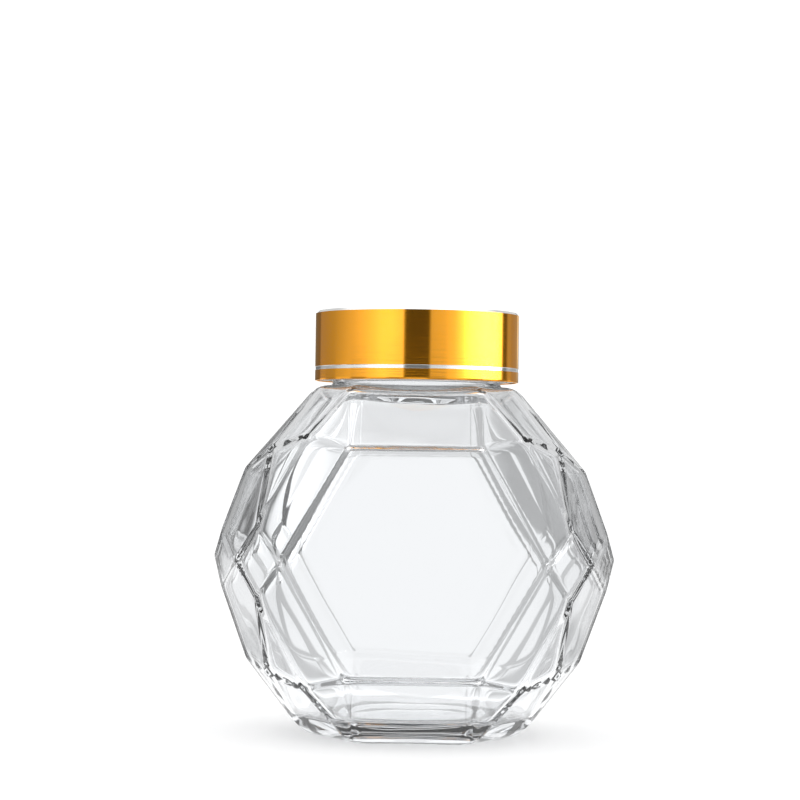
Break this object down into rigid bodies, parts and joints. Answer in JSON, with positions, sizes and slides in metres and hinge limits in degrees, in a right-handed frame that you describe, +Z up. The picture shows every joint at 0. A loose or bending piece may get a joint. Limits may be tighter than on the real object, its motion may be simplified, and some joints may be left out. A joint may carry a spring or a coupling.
{
  "type": "hexagonal honey jar",
  "caption": "Faceted clear glass honey jar, hexagonal front and back, with a gold aluminium screw lid over a white insert and sealing liner; empty.",
  "frame": {"origin": "middle of the base, on the surface the jar stands on", "axes": "+Z up along the neck axis, the front hexagon faces -Y, +X across the jar's width"},
  "size_m": [0.114, 0.0876, 0.1198],
  "materials": {
    "clear_glass": "clear pressed flint glass, fire polished",
    "liner_foam": "smooth closed-cell foam, pale grey",
    "white_plastic": "moulded white plastic",
    "gold_aluminium": "bright gold anodised, with a bare turned ring line and a bare top edge"
  },
  "bodies": {
    "root": {"glass_jar": "clear_glass", "sealing_liner": "liner_foam", "lid_insert": "white_plastic", "lid_shell": "gold_aluminium"}
  },
  "joints": []
}
